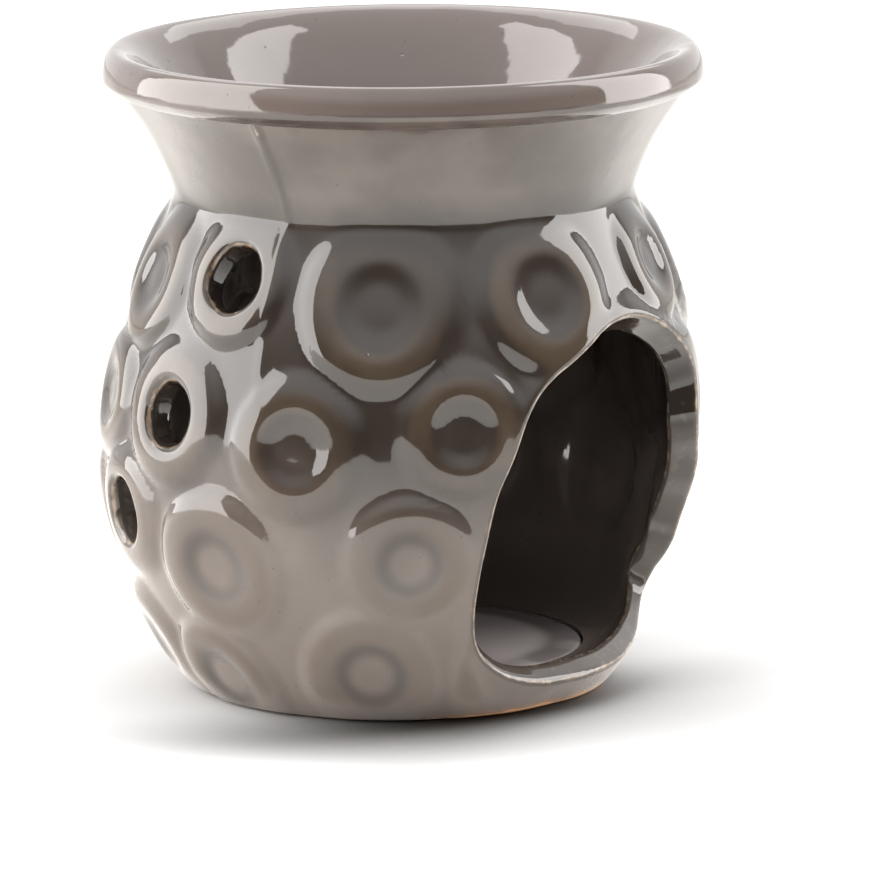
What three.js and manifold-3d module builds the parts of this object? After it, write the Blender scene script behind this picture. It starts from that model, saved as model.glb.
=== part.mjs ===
// A glazed earthenware oil burner: a round pot whose wall is pressed into rows of cratered mounds,
// three of them pierced as air vents, with one egg-shaped doorway cut for a tealight.
// Its flared collar carries a separate oil dish with a rolled lip, and a disc closes the pouring hole
// in its foot and is the floor that the tealight stands on.
// Millimetres, +Z up, origin at the centre of the foot, doorway towards -Y.
import * as THREE from "three";
import { mergeVertices } from "three/addons/utils/BufferGeometryUtils.js";
import Module from "manifold-3d";

const wasm = await Module();
wasm.setup();

// Driving dimensions
const pot = {
  footRadius: 39,
  footRing: 6.5,
  footChamfer: 0.8,
  bellyRadius: 55.3,
  bellyHeight: 47,
  neckRadius: 42.2,
  neckHeight: 92.3,
  wall: 5.2,
  lean: 1.5,
  swell: 0.5,
  leanAzimuth: -144,
  leanBelow: [32, 72],
};
const collar = {
  rise: 20.6,
  topRadius: 54.3,
  curveRadius: 56,
  wall: 4,
};
const dish = {
  lipHeight: 5.6,
  lipOverhang: 0.7,
  lipWidestAt: 1,
  rollInset: 1.1,
  bowlDepth: 27.3,
  wall: 4,
  floorWall: 4,
  cornerRadius: 14,
};
const chamberFloor = {
  thickness: 3.2,
  recess: 3.4,
  ledge: 2.5,
  coveRise: 14,
};
const doorway = {
  width: 76,
  sillHeight: 5,
  headBelowNeck: 19.3,
};
const vent = { radius: 5.7 };
const mound = {
  rise: 1.7,
  crown: 0.58,
  foot: 1.05,
  craterEdge: 0.12,
  craterDepth: 0.5,
  blend: 11,
  printThrough: 0.45,
  evenedAtNeck: 0.6,
  evenedAtDoorway: 0.9,
  evenedAtSill: 0.45,
  footFade: 7,
  neckFade: 7,
  edgeFade: 5,
};
const clearance = 0.3;

// Heights and radii that follow from them
const collarTop = pot.neckHeight + collar.rise;
const lipBottom = collarTop + clearance;
const crestHeight = lipBottom + dish.lipHeight;
const dishFloor = crestHeight - dish.bowlDepth;
const dishUnderside = dishFloor - dish.floorWall;
const seatRadius = pot.footRadius - pot.footRing;
const discRadius = seatRadius - clearance;
const discUnderside = chamberFloor.recess + clearance;
const discTop = discUnderside + chamberFloor.thickness;
const throatRadius = pot.neckRadius - collar.wall;
const doorwayHead = pot.neckHeight - doorway.headBelowNeck;

// Facets
const AROUND = 112;
const AROUND_INSIDE = 56;
const ROW_STEP = 3.1;
const ROW_STEP_INSIDE = 10;
const COLLAR_STEP = 4.5;
const VENT_SIDES = 16;
const DOORWAY_STEPS = 44;
const THROAT_BLEND = 6;

// The mounds, row by row from the neck down, each row at a share of the neck's height. Each mound has
// its azimuth from the doorway's axis in degrees (anticlockwise from above), its height above or below
// the row, and its outer radius.
const PLAIN = 13;
const plain = (...azimuths) => azimuths.map((azimuth) => [azimuth, 0, PLAIN]);
const moundRows = [
  {
    up: 0.854,
    ring: [
      [-123.7, -0.2, 12.5],
      [-94.5, 2.7, 12, "pierced"],
      [-59.4, -0.9, 15],
      [-22, -0.2, 14],
      [16.8, 2.2, 10.5],
      [46, -2.8, 12.5],
      ...plain(84, 122, 160, 198),
    ],
  },
  {
    up: 0.607,
    ring: [
      [-133, 0.2, 12],
      [-106, 0.2, 13.5, "pierced"],
      [-75.5, -3.2, 13.2],
      [-43, 0.2, 12],
      ...plain(-11, 22, 56, 90, 124, 158, 192),
    ],
  },
  {
    up: 0.358,
    ring: [
      [-121.5, 3.2, 12, "pierced"],
      [-94, -3.4, 14],
      [-53.4, -0.7, 12.5],
      [-151, -0.6, 11.8],
      ...plain(-24, 8, 41, 73, 107, 141, 175),
    ],
  },
  {
    up: 0.11,
    ring: [
      [-128, 0, 11.5],
      [-101.3, -3.2, 12],
      [-62.3, 0.2, 13.5],
      ...plain(-29, 8, 44, 80, 116, 152, 190),
    ],
  },
];
const mounds = moundRows.flatMap(({ up, ring }) =>
  ring.map(([azimuth, lift, radius, pierced]) => ({
    azimuth: THREE.MathUtils.degToRad(azimuth),
    height: pot.neckHeight * up + lift,
    radius,
    pierced: pierced === "pierced",
  })),
);

// The doorway's outline on the outer face, going round from the sill: across in halves of its width,
// up in shares of its height. An egg with its wide end low, a little higher at its right.
const doorwayOutline = [
  [-0.176, 0.001], [0.078, -0.001], [0.301, 0.003], [0.519, 0.018], [0.693, 0.038], [0.845, 0.071],
  [0.958, 0.115], [0.997, 0.165], [0.974, 0.213], [0.96, 0.265], [0.972, 0.324], [0.942, 0.39],
  [0.871, 0.456], [0.79, 0.537], [0.69, 0.607], [0.626, 0.669], [0.634, 0.735], [0.629, 0.787],
  [0.566, 0.838], [0.447, 0.891], [0.262, 0.956], [0.066, 0.996], [-0.094, 1], [-0.224, 0.981],
  [-0.335, 0.947], [-0.451, 0.913], [-0.558, 0.881], [-0.649, 0.838], [-0.723, 0.776],
  [-0.791, 0.684], [-0.865, 0.576], [-0.891, 0.456], [-0.889, 0.338], [-0.858, 0.235],
  [-0.803, 0.159], [-0.711, 0.097], [-0.566, 0.044], [-0.377, 0.012],
];

const ceramic = (colour, roughness) =>
  new THREE.MeshStandardMaterial({ color: new THREE.Color(colour), roughness, metalness: 0 });

// The radius of a circle that is upright at the end of `run` and has come in by `rise` at its start.
const arcRadius = (rise, run) => (rise * rise + run * run) / (2 * rise);

// The pot's outer face through the crowns of the mounds: one arc up to the belly, another above it.
function crownRadius(z) {
  const end = z < pot.bellyHeight ? pot.footRadius : pot.neckRadius;
  const run = z < pot.bellyHeight ? pot.bellyHeight : pot.neckHeight - pot.bellyHeight;
  const arc = arcRadius(pot.bellyRadius - end, run);
  return pot.bellyRadius - arc + Math.sqrt(arc * arc - (z - pot.bellyHeight) ** 2);
}

// The collar's outer face: an arc hollow to the outside, from the neck out to the seat of the lip,
// carried straight on below the neck, where the mounds cover it.
function collarRadius(z) {
  const dr = collar.topRadius - pot.neckRadius;
  const dz = collar.rise;
  const chord = Math.hypot(dr, dz);
  const sag = Math.sqrt(collar.curveRadius ** 2 - (chord / 2) ** 2);
  const centreRadius = (pot.neckRadius + collar.topRadius) / 2 + (sag * dz) / chord;
  const centreHeight = (pot.neckHeight + collarTop) / 2 - (sag * dr) / chord;
  if (z < pot.neckHeight) {
    const slope = (pot.neckHeight - centreHeight) / (centreRadius - pot.neckRadius);
    return pot.neckRadius + (z - pot.neckHeight) * slope;
  }
  return centreRadius - Math.sqrt(collar.curveRadius ** 2 - (z - centreHeight) ** 2);
}

// A mound's height at a share of its own radius: a ring that falls away to its foot and to its crater.
function moundRise(share) {
  const down = THREE.MathUtils.clamp((share - mound.crown) / (mound.foot - mound.crown), 0, 1.6);
  const crater = 1 - THREE.MathUtils.smoothstep(share, mound.craterEdge, mound.crown);
  return 1 - down ** 3 - mound.craterDepth * crater;
}

// The pot's lower half is a touch fuller and stands a little to one side of its neck.
function lean(azimuth, z) {
  const across = Math.cos(azimuth - THREE.MathUtils.degToRad(pot.leanAzimuth));
  return (pot.lean * across + pot.swell) * (1 - THREE.MathUtils.smoothstep(z, ...pot.leanBelow));
}

// A closed curve round the doorway's outline, its points [azimuth, height, 0].
const doorwayEdge = new THREE.CatmullRomCurve3(
  doorwayOutline.map(([across, up]) => {
    const z = doorway.sillHeight + (doorwayHead - doorway.sillHeight) * up;
    return new THREE.Vector3(Math.asin(((across * doorway.width) / 2) / crownRadius(z)), z, 0);
  }),
  true,
);
const edgePoints = doorwayEdge.getPoints(2 * DOORWAY_STEPS);

// From 1 at the doorway's edge to 0 a short way off it, where the mounds have their full height.
function besideDoorway(azimuth, z, radius) {
  const turn = Math.atan2(Math.sin(azimuth), Math.cos(azimuth));
  const distances = edgePoints.map((p) => Math.hypot((p.x - turn) * radius, p.y - z));
  return 1 - THREE.MathUtils.smoothstep(Math.min(...distances), 0, mound.edgeFade);
}

// How far the wall stands out of its valleys, from 0 to 1: the mounds near by run softly into each
// other, die away towards the foot and are evened out beside the doorway and under the collar.
function relief(azimuth, z) {
  const radius = crownRadius(Math.min(z, pot.neckHeight));
  let total = 1;
  for (const m of mounds) {
    const turn = Math.atan2(Math.sin(azimuth - m.azimuth), Math.cos(azimuth - m.azimuth));
    const share = Math.hypot(turn * radius, z - m.height) / m.radius;
    total += Math.exp(mound.blend * moundRise(share));
  }
  const atNeck = THREE.MathUtils.smoothstep(z, pot.neckHeight - mound.neckFade, pot.neckHeight);
  const up = THREE.MathUtils.smoothstep(z, 10, 17);
  const beside = THREE.MathUtils.lerp(mound.evenedAtSill, mound.evenedAtDoorway, up);
  const runTogether = THREE.MathUtils.lerp(Math.log(total) / mound.blend, mound.evenedAtNeck, atNeck);
  const even = THREE.MathUtils.lerp(runTogether, beside, besideDoorway(azimuth, z, radius));
  return even * THREE.MathUtils.smoothstep(z, -mound.footFade / 2, mound.footFade);
}

function outerRadius(azimuth, z) {
  const wall = crownRadius(z) - mound.rise * (1 - relief(azimuth, z)) + lean(azimuth, z);
  return Math.max(wall, collarRadius(z));
}

// The inside of the wall follows the mounds softly, narrows to the throat under the dish,
// and opens again inside the collar.
function innerRadius(azimuth, z) {
  if (z >= pot.neckHeight) return collarRadius(z) - collar.wall;
  const print = mound.rise * (1 - mound.printThrough * relief(azimuth, z));
  const nearNeck = THREE.MathUtils.smoothstep(z, dishUnderside - THROAT_BLEND, dishUnderside);
  const chamber = crownRadius(z) - print - pot.wall + lean(azimuth, z);
  return THREE.MathUtils.lerp(chamber, throatRadius, nearNeck);
}

const dishOuterRadius = (z) => collarRadius(Math.max(z, pot.neckHeight)) - collar.wall - clearance;

// A point at an azimuth from the doorway's axis, anticlockwise seen from above.
const polar = (azimuth, radius, z) =>
  new THREE.Vector3(radius * Math.sin(azimuth), -radius * Math.cos(azimuth), z);

// A closed surface from rings of points, each ring with the same count, ends closed by a centre point.
function loft(rings) {
  const count = rings[0].length;
  const points = rings.flat();
  const index = [];
  for (let j = 0; j + 1 < rings.length; j++)
    for (let i = 0; i < count; i++) {
      const a = j * count + i;
      const b = j * count + ((i + 1) % count);
      index.push(a, b, b + count, a, b + count, a + count);
    }
  for (const [ring, first, flip] of [
    [rings[0], 0, true],
    [rings.at(-1), (rings.length - 1) * count, false],
  ]) {
    const centre = ring.reduce((sum, p) => sum.add(p), new THREE.Vector3()).divideScalar(count);
    points.push(centre);
    for (let i = 0; i < count; i++) {
      const edge = [first + i, first + ((i + 1) % count)];
      if (flip) edge.reverse();
      index.push(...edge, points.length - 1);
    }
  }
  return new THREE.BufferGeometry().setFromPoints(points).setIndex(index);
}

// A revolved outline of [radius, height] points that starts and ends on the axis.
function turned(outline, segments) {
  const points = outline.map(([radius, height]) => new THREE.Vector2(radius, height));
  return new THREE.LatheGeometry(points, segments).rotateX(Math.PI / 2);
}

// A closed geometry as a solid, its faces turned outwards whichever way its rings run.
function toSolid(geometry) {
  const bare = geometry.clone();
  bare.deleteAttribute("normal");
  bare.deleteAttribute("uv");
  const merged = mergeVertices(bare, 1e-3);
  const triVerts = [];
  for (let i = 0; i < merged.index.count; i += 3) {
    const corners = [0, 1, 2].map((k) => merged.index.getX(i + k));
    if (new Set(corners).size === 3) triVerts.push(...corners);
  }
  const vertProperties = merged.attributes.position.array;
  const closed = (corners) =>
    new wasm.Manifold(new wasm.Mesh({ numProp: 3, vertProperties, triVerts: new Uint32Array(corners) }));
  const solid = closed(triVerts);
  return solid.volume() > 0 ? solid : closed(triVerts.reverse());
}

function toGeometry(solid) {
  const { vertProperties, triVerts } = solid.getMesh();
  const geometry = new THREE.BufferGeometry();
  geometry.setAttribute("position", new THREE.BufferAttribute(vertProperties, 3));
  geometry.setIndex(new THREE.BufferAttribute(triVerts, 1));
  geometry.computeVertexNormals();
  return geometry;
}

// Heights from low to high in equal steps no longer than `step`.
function heights(low, high, step) {
  const count = Math.max(1, Math.ceil((high - low) / step));
  return Array.from({ length: count + 1 }, (_, i) => low + ((high - low) * i) / count);
}

const around = (count, radiusAt, z) =>
  Array.from({ length: count }, (_, i) => {
    const azimuth = (i / count) * 2 * Math.PI;
    return polar(azimuth, radiusAt(azimuth, z), z);
  });

function potForm() {
  const foot = around(AROUND, (azimuth) => outerRadius(azimuth, 0) - pot.footChamfer, 0);
  const wall = heights(pot.footChamfer, pot.neckHeight + ROW_STEP, ROW_STEP);
  const flare = heights(wall.at(-1), collarTop, COLLAR_STEP).slice(1);
  return loft([foot, ...[...wall, ...flare].map((z) => around(AROUND, outerRadius, z))]);
}

// The hollow: a cove up from the floor disc's seat, the chamber, the throat and the collar.
function potHollow() {
  const coveTop = discTop + chamberFloor.coveRise;
  const cove = [0, 0.35, 0.7].map((share) => {
    const angle = (share * Math.PI) / 2;
    const z = discTop + chamberFloor.coveRise * (1 - Math.cos(angle));
    const reach = Math.sin(angle);
    return around(
      AROUND_INSIDE,
      (azimuth) => THREE.MathUtils.lerp(seatRadius, innerRadius(azimuth, coveTop), reach),
      z,
    );
  });
  const wall = heights(coveTop, pot.neckHeight, ROW_STEP_INSIDE);
  const flare = heights(pot.neckHeight, collarTop + 1, COLLAR_STEP).slice(1);
  return loft([
    around(AROUND_INSIDE, () => seatRadius, chamberFloor.recess),
    ...cove,
    ...[...wall, ...flare].map((z) => around(AROUND_INSIDE, innerRadius, z)),
  ]);
}

// The opening in the foot that the pot was poured through, smaller than the disc that closes it.
function pouringHole() {
  const radius = seatRadius - chamberFloor.ledge;
  return loft([-1, chamberFloor.recess + 1].map((z) => around(AROUND_INSIDE, () => radius, z)));
}

// The doorway's cutter: its faces run towards one point on the pot's axis, as a knife held to the
// middle of the chamber leaves them.
function doorwayCut() {
  const onWall = doorwayEdge.getPoints(4 * DOORWAY_STEPS).map((p) => polar(p.x, crownRadius(p.y), p.y));
  const edge = new THREE.CatmullRomCurve3(onWall).getSpacedPoints(DOORWAY_STEPS).slice(0, -1);
  const middle = new THREE.Vector3(0, 0, (doorway.sillHeight + doorwayHead) / 2);
  const deepest = 0.6;
  const furthest = 1.3;
  return loft([furthest, deepest].map((reach) => edge.map((p) => middle.clone().lerp(p, reach))));
}

// A round hole square to the wall through the middle of a mound.
function ventCut({ azimuth, height }) {
  const depth = 4 * pot.wall;
  const slope = (crownRadius(height + 1) - crownRadius(height - 1)) / 2;
  const out = polar(azimuth, 1, -slope).normalize();
  const geometry = new THREE.CylinderGeometry(vent.radius, vent.radius, depth, VENT_SIDES);
  geometry.applyQuaternion(new THREE.Quaternion().setFromUnitVectors(new THREE.Vector3(0, 1, 0), out));
  const centre = polar(azimuth, crownRadius(height) + lean(azimuth, height) - pot.wall / 2, height);
  return geometry.translate(centre.x, centre.y, centre.z);
}

function burnerBody() {
  let solid = toSolid(potForm()).subtract(toSolid(potHollow())).subtract(toSolid(pouringHole()));
  solid = solid.subtract(toSolid(doorwayCut()));
  for (const m of mounds.filter((m) => m.pierced)) solid = solid.subtract(toSolid(ventCut(m)));
  const mesh = new THREE.Mesh(toGeometry(solid), ceramic("#8b8279", 0.15));
  mesh.name = "burner_body";
  return mesh;
}

// Points on a quarter of an ellipse, from its side [radius + across, height] to its top or bottom.
function quarterRound(radius, height, across, up, steps) {
  return Array.from({ length: steps + 1 }, (_, i) => {
    const angle = (i / steps) * (Math.PI / 2);
    return [radius + across * Math.cos(angle), height + up * Math.sin(angle)];
  });
}

// A curve from one point to another that leaves and arrives in the direction of a corner between them.
function softBend(from, corner, to, steps) {
  const mix = (a, b, t) => [0, 1].map((k) => THREE.MathUtils.lerp(a[k], b[k], t));
  return Array.from({ length: steps + 1 }, (_, i) => {
    const t = i / steps;
    return mix(mix(from, corner, t), mix(corner, to, t), t);
  });
}

// The dish hangs by its lip on the collar's top, its wall just clear of the collar's inside.
function oilDish() {
  const footRound = 3;
  const rounding = 8;
  const lipRadius = collar.topRadius + dish.lipOverhang;
  const widest = lipBottom + dish.lipWidestAt;
  const crestRadius = lipRadius - dish.rollInset;
  const outside = (z) => collarRadius(Math.max(z, pot.neckHeight)) - collar.wall - clearance;
  const inside = (z) => outside(z) - dish.wall;

  // Up the outside from the middle of the underside to the seat of the lip.
  const wallStart = Math.max(pot.neckHeight, dishUnderside + footRound);
  const footEdge = quarterRound(outside(wallStart) - footRound, dishUnderside + footRound, footRound, -footRound, 3);
  const outline = [[0, dishUnderside], ...footEdge.reverse()];
  for (const z of heights(wallStart, lipBottom, COLLAR_STEP)) outline.push([outside(z), z]);

  // Round the rolled lip, from its crisp lower corner over the crest.
  outline.push([collar.topRadius + clearance / 2, lipBottom]);
  outline.push(...quarterRound(crestRadius, widest, dish.rollInset, crestHeight - widest, 5));
  const rollEnd = crestHeight - rounding;
  const slope = inside(rollEnd) - inside(rollEnd - 1);
  const shoulder = [inside(rollEnd) + slope * rounding, crestHeight];
  outline.push(...softBend([crestRadius, crestHeight], shoulder, [inside(rollEnd), rollEnd], 5).slice(1));

  // Down the inside along the collar's own curve to a round corner and the flat of the bowl.
  const cornerRise = dish.cornerRadius * 0.6;
  const cornerTop = dishFloor + cornerRise;
  for (const z of heights(cornerTop, rollEnd, COLLAR_STEP).reverse().slice(1)) outline.push([inside(z), z]);
  const corner = quarterRound(inside(cornerTop) - dish.cornerRadius, cornerTop, dish.cornerRadius, -cornerRise, 4);
  outline.push(...corner.slice(1), [0, dishFloor]);
  const mesh = new THREE.Mesh(turned(outline, AROUND_INSIDE), ceramic("#8b8279", 0.12));
  mesh.name = "oil_dish";
  return mesh;
}

function floorDisc() {
  const edge = 0.6;
  const outline = [
    [0, discUnderside],
    [discRadius - edge, discUnderside],
    [discRadius, discUnderside + edge],
    [discRadius, discTop - edge],
    [discRadius - edge, discTop],
    [0, discTop],
  ];
  const mesh = new THREE.Mesh(turned(outline, AROUND_INSIDE), ceramic("#b5aca6", 0.3));
  mesh.name = "chamber_floor";
  return mesh;
}

const burner = new THREE.Group();
burner.name = "oil_burner";
burner.add(burnerBody(), oilDish(), floorDisc());

export default burner;
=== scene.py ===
# A glazed earthenware oil burner on a white table: the cratered pot with its collar, the oil dish and the
# floor disc. Sizes are in millimetres until a piece is finished, and azimuths run from the doorway's axis,
# which looks along -Y.
import math

import bmesh
import bpy
import numpy as np
from mathutils import Matrix, Vector
from mathutils.kdtree import KDTree


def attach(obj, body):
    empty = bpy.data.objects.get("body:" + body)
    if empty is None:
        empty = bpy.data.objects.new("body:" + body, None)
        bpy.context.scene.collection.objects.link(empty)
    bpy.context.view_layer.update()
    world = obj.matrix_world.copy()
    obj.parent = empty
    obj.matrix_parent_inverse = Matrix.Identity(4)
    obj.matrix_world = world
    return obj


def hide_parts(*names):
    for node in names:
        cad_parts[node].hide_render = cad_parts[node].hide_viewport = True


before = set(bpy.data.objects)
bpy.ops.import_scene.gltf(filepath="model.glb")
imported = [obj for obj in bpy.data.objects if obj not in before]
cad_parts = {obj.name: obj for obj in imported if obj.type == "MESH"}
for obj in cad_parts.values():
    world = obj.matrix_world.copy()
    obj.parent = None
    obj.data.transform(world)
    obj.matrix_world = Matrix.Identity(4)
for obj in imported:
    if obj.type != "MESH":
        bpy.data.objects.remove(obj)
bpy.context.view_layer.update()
MM = 0.001

# The pot, as it is in the CAD
FOOT_RADIUS = 39.0
FOOT_RING = 6.5
BELLY_RADIUS = 55.3
BELLY_HEIGHT = 47.0
NECK_RADIUS = 42.2
NECK_HEIGHT = 92.3
WALL = 5.2
COLLAR_RISE = 20.6
COLLAR_TOP_RADIUS = 54.3
COLLAR_CURVE = 56.0
COLLAR_WALL = 4.0
COLLAR_TOP = NECK_HEIGHT + COLLAR_RISE
THROAT_RADIUS = NECK_RADIUS - COLLAR_WALL
SEAT_RADIUS = FOOT_RADIUS - FOOT_RING
SEAT_HEIGHT = 3.4
POURING_HOLE = 30.0

# The floor disc and the cove that runs up from it
DISC_RADIUS = 32.2
DISC_UNDERSIDE = 3.7
DISC_TOP = 6.9
COVE_TOP = 20.9

# The oil dish
CREST_HEIGHT = 118.3
LIP_RADIUS = 55.0
LIP_WIDEST = 113.3
CREST_RADIUS = 52.6
DISH_WALL = 4.0
SKIRT = 2.3
DISH_GAP = 0.3
DISH_FLOOR = 91.5
DISH_UNDERSIDE = 87.5

# The round vents, and the doorway's outline: degrees from its axis and height, going round from the sill
VENT_RADIUS = 5.7
DOOR_MIDDLE_HEIGHT = 39.4
DOOR_OUTLINE = [
    (-9, 5.1), (4, 4.9), (15.5, 5.2), (27, 6.2), (36.5, 7.6), (44.8, 9.8), (50.5, 12.8), (51, 16.2),
    (47.6, 19.5), (45.2, 23), (44.6, 27), (41.8, 31.5), (37.4, 36), (33, 41.5), (28.3, 46.3), (25.5, 50.5),
    (26, 55), (26, 58.5), (23.5, 62), (18.6, 65.6), (11, 70), (2.8, 72.7), (-4, 73), (-9.5, 71.7),
    (-14.1, 69.4), (-18.9, 67.1), (-23.4, 64.9), (-27.2, 62), (-30.2, 57.8), (-33, 51.5), (-36.5, 44.2),
    (-38.4, 36), (-39.7, 28), (-40, 21), (-38.9, 15.8), (-35.5, 11.6), (-28.9, 8), (-19.4, 5.8),
]

# The relief: a plain mound's radius, the rise of all mounds, and the rest as shares of that rise
PLAIN = 13.0
MOUND_RISE = 1.7
CRATER_DEPTH = 0.72
VALLEY = 0.08
PRINT_THROUGH = 0.45

# How sharply one mound meets the next
JOIN_SHARPNESS = 11


# Mounds that are all alike, in a row at one height.
def plain(height, *azimuths):
    return [(azimuth, height, PLAIN, False) for azimuth in azimuths]


# The mounds: azimuth in degrees, height, radius, and whether a vent pierces it
MOUNDS = [
    (-123.7, 78.6, 12.5, False),
    (-94.5, 81.5, 12, True),
    (-59.4, 77.9, 15, False),
    (-22, 78.6, 14, False),
    (16.8, 81.0, 10.5, False),
    (46, 76.0, 12.5, False),
    *plain(78.8, 84, 122, 160, 198),
    (-133, 56.2, 12, False),
    (-106, 56.2, 13.5, True),
    (-75.5, 52.8, 13.2, False),
    (-43, 56.2, 12, False),
    *plain(56.0, -11, 22, 56, 90, 124, 158, 192),
    (-121.5, 36.2, 12, True),
    (-94, 29.6, 14, False),
    (-53.4, 32.3, 12.5, False),
    (-151, 32.5, 11.8, False),
    *plain(33.0, -24, 8, 41, 73, 107, 141, 175),
    (-128, 10.2, 11.5, False),
    (-101.3, 7.0, 12, False),
    (-62.3, 10.3, 13.5, False),
    *plain(10.2, -29, 8, 44, 80, 116, 152, 190),
]

# The mounds fade out beside the doorway, and one with its middle inside the clearance gets no painted
# crater shade.
EDGE_FADE = 5.0
CRATER_CLEARANCE = 6.0

# How high the even wall stands at the neck, at the doorway's sill and at its sides, as a share of a mound
NECK_LEVEL = 0.6
SILL_LEVEL = 0.45
SIDE_LEVEL = 0.9

# The mould's seam
SEAM_AZIMUTH = -83.7
SEAM_RADIUS = 48
SEAM_WIDTH = 0.7
SEAM_HEIGHT = 0.3

# The lower half leans to one side and is a little fuller
LEAN = 1.5
SWELL = 0.5
LEAN_AZIMUTH = math.radians(-144)

# The wall is laid out flat first: across is the azimuth in radians times UNROLL, up is the height, and
# depth goes from the outer face at 0 to the inner face at DEPTH.
UNROLL = 50.0
DEPTH = 6.0
COLUMNS = 328
ROWS = 105
EDGE_BOTTOM = 1.0
EDGE_TOP = COLLAR_TOP - 0.4
COVE_START = 2.0
EDGE_STEPS = 12
ROUNDED = 4

# Inside the foot: the sheet's row, the distance from the axis and the height, up the pouring hole, over the
# ledge that holds the disc and up the ledge's side
FOOT_INSIDE = [
    (EDGE_BOTTOM, POURING_HOLE, 0.8),
    (1.2, POURING_HOLE, SEAT_HEIGHT - 0.3),
    (1.4, POURING_HOLE + 0.3, SEAT_HEIGHT),
    (1.6, SEAT_RADIUS - 0.3, SEAT_HEIGHT),
    (1.8, SEAT_RADIUS, SEAT_HEIGHT + 0.3),
    (COVE_START, SEAT_RADIUS, DISC_TOP),
]


def smoothstep(x, low, high):
    t = np.clip((x - low) / (high - low), 0, 1)
    return t * t * (3 - 2 * t)


def lerp(a, b, share):
    return a + (b - a) * share


# A place on the curve from one point to another that leaves and arrives in the direction of the corner
# between them.
def on_bend(start, corner, end, t):
    return lerp(lerp(start, corner, t), lerp(corner, end, t), t)


# The radius of a circle that is upright at the end of a run and has come in by `rise` at its start.
def arc_radius(rise, run):
    return (rise * rise + run * run) / (2 * rise)


# The pot's outer face through the crowns of its mounds.
def crown_radius(z):
    z = np.clip(z, 0, NECK_HEIGHT + 3)
    low = z < BELLY_HEIGHT
    run = np.where(low, BELLY_HEIGHT, NECK_HEIGHT - BELLY_HEIGHT)
    arc = arc_radius(BELLY_RADIUS - np.where(low, FOOT_RADIUS, NECK_RADIUS), run)
    return BELLY_RADIUS - arc + np.sqrt(arc * arc - (z - BELLY_HEIGHT) ** 2)


# The collar's outer face, carried straight on below the neck.
def collar_radius(z):
    widening = COLLAR_TOP_RADIUS - NECK_RADIUS
    chord = math.hypot(widening, COLLAR_RISE)
    sag = math.sqrt(COLLAR_CURVE ** 2 - (chord / 2) ** 2)
    centre_radius = (NECK_RADIUS + COLLAR_TOP_RADIUS) / 2 + sag * COLLAR_RISE / chord
    centre_height = (NECK_HEIGHT + COLLAR_TOP) / 2 - sag * widening / chord
    slope = (NECK_HEIGHT - centre_height) / (centre_radius - NECK_RADIUS)
    up = np.sqrt(COLLAR_CURVE ** 2 - (np.maximum(z, NECK_HEIGHT) - centre_height) ** 2)
    return np.where(z < NECK_HEIGHT, NECK_RADIUS + (z - NECK_HEIGHT) * slope, centre_radius - up)


# One mound's height at a share of its radius: a rounded ring round a shallow crater.
def mound_height(share):
    ring = 0.58
    fall = 0.47
    shoulder = 1 - np.clip((share - ring) / fall, 0, 1.6) ** 3
    return shoulder - CRATER_DEPTH * (1 - smoothstep(share, 0.24, 0.62))


# A closed curve through its corners, as many points as asked for.
def closed_curve(corners, count):
    corners = np.array(corners, float)
    n = len(corners)
    t = np.arange(count) / count * n
    i = t.astype(int)
    f = (t - i)[:, None]
    p0, p1, p2, p3 = (corners[(i + k) % n] for k in (-1, 0, 1, 2))
    return 0.5 * (2 * p1 + (p2 - p0) * f + (2 * p0 - 5 * p1 + 4 * p2 - p3) * f ** 2
                  + (3 * p1 - p0 - 3 * p2 + p3) * f ** 3)


DOOR_EDGE = closed_curve(DOOR_OUTLINE, 160)


# From 1 at the doorway's edge to 0 a short way off it, where the mounds have their full height.
def beside_doorway(azimuth, z):
    azimuth, z = np.broadcast_arrays(azimuth, z)
    far = 99.0
    nearest = np.full(azimuth.shape, far)
    close = (abs(np.degrees(azimuth) - 7) < 60) & (z < 84)
    a, h = azimuth[close], z[close]
    gaps = np.full(a.shape, far)
    for degrees, height in DOOR_EDGE:
        gaps = np.minimum(gaps, np.hypot((a - math.radians(degrees)) * UNROLL, h - height))
    nearest[close] = gaps
    return 1 - smoothstep(nearest, 0, EDGE_FADE)


# How far places on the wall are from a mound's middle, as a share of the mound's radius.
def share_of_mound(azimuth, z, wall_radius, degrees, height, size):
    turn = azimuth - math.radians(degrees)
    turn = np.arctan2(np.sin(turn), np.cos(turn))
    return np.hypot(turn * wall_radius, z - height) / size


# How far the wall stands out of its valleys, from 0 to 1. It evens out at the neck and beside the doorway.
def relief(azimuth, z):
    wall_radius = crown_radius(np.minimum(z, NECK_HEIGHT))
    total = np.zeros_like(wall_radius + azimuth)
    for degrees, height, size, pierced in MOUNDS:
        share = share_of_mound(azimuth, z, wall_radius, degrees, height, size)
        total += np.exp(JOIN_SHARPNESS * mound_height(share))
    blended = np.log(np.exp(JOIN_SHARPNESS * VALLEY) + total) / JOIN_SHARPNESS
    blended = lerp(blended, NECK_LEVEL, smoothstep(z, 85.5, 93))
    beside = lerp(SILL_LEVEL, SIDE_LEVEL, smoothstep(z, 10, 17))
    return lerp(blended, beside, beside_doorway(azimuth, z)) * smoothstep(z, -3.5, 7)


def cut_by_doorway(degrees, height):
    gaps = [math.hypot(math.radians(degrees - a) * UNROLL, height - h) for a, h in DOOR_EDGE]
    return min(gaps) < CRATER_CLEARANCE


# From 1 in the middle of a mound's crater to 0 on its crown, as a mask for painted shade.
def crater(azimuth, z):
    deepest = np.zeros_like(z + azimuth)
    for degrees, height, size, pierced in MOUNDS:
        if not cut_by_doorway(degrees, height):
            share = share_of_mound(azimuth, z, crown_radius(z), degrees, height, size)
            deepest = np.maximum(deepest, 1 - smoothstep(share, 0.2, 0.6))
    return deepest


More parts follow.
